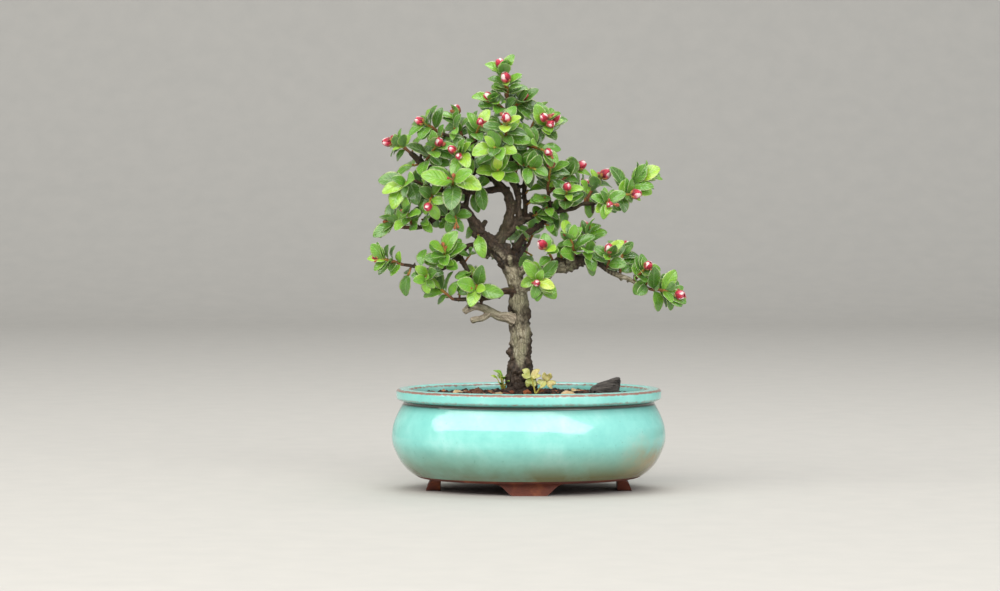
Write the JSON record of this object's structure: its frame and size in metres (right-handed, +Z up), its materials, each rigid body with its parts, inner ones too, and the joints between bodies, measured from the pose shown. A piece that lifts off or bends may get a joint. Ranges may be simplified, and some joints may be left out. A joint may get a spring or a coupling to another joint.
{
  "type": "potted bonsai tree",
  "caption": "Small flowering shrub trained as a bonsai, with a bare forked trunk, leafy shoots and flower buds, standing in an oval glazed pot on cloud feet.",
  "frame": {"origin": "middle of the overall box, on the surface that the pot's feet stand on", "axes": "+Z up the trunk; +X along the pot's long side, to the right of the tree's front; -Y towards the viewer of the tree's front"},
  "size_m": [0.1434, 0.098, 0.196],
  "materials": {
    "pot_glaze": "gloss",
    "potting_grit": "matte",
    "bark": "matte",
    "foliage": "satin",
    "weed_leaf": "satin",
    "bark_chip": "matte",
    "lava_stone": "matte",
    "mesh_plastic": "satin",
    "screen_wire": "satin"
  },
  "bodies": {
    "root": {"bark_chip": "bark_chip", "drain_screen_left": "mesh_plastic", "drain_screen_right": "mesh_plastic", "lava_stone": "lava_stone", "pot": "pot_glaze", "screen_wire_left": "screen_wire", "screen_wire_right": "screen_wire", "shoot_apex": "foliage", "shoot_apex_back": "foliage", "shoot_apex_front": "foliage", "shoot_apex_left": "foliage", "shoot_apex_right": "foliage", "shoot_back_crown": "foliage", "shoot_back_left": "foliage", "shoot_back_low": "foliage", "shoot_back_right": "foliage", "shoot_back_side": "foliage", "shoot_big_leaves": "foliage", "shoot_crown_bud_far": "foliage", "shoot_crown_bud_inner": "foliage", "shoot_crown_bud_left": "foliage", "shoot_crown_bud_mid": "foliage", "shoot_crown_trio": "foliage", "shoot_crown_trio_back": "foliage", "shoot_front_bright": "foliage", "shoot_front_low_crown": "foliage", "shoot_left_high": "foliage", "shoot_left_inner": "foliage", "shoot_low_left_hang": "foliage", "shoot_low_left_tip": "foliage", "shoot_low_left_top": "foliage", "shoot_low_left_under": "foliage", "shoot_low_right_bud": "foliage", "shoot_low_right_bud_top": "foliage", "shoot_low_right_disc": "foliage", "shoot_low_right_inner": "foliage", "shoot_low_right_outer": "foliage", "shoot_low_right_tip": "foliage", "shoot_low_right_top": "foliage", "shoot_low_spur_tip": "foliage", "shoot_reach_hang": "foliage", "shoot_reach_tip": "foliage", "shoot_reach_top": "foliage", "shoot_right_bud_tip": "foliage", "shoot_right_high": "foliage", "shoot_right_long": "foliage", "shoot_right_mid_bud": "foliage", "shoot_right_shoulder": "foliage", "shoot_right_under_bud": "foliage", "shoot_right_upper_bud": "foliage", "shoot_spur_top": "foliage", "shoot_star": "foliage", "shoot_stub_side": "foliage", "shoot_stub_tip": "foliage", "shoot_trunk_front": "foliage", "shoot_upright_back": "foliage", "shoot_upright_pair": "foliage", "soil": "potting_grit", "trunk_and_branches": "bark", "wood_sorrel": "weed_leaf"}
  },
  "joints": []
}
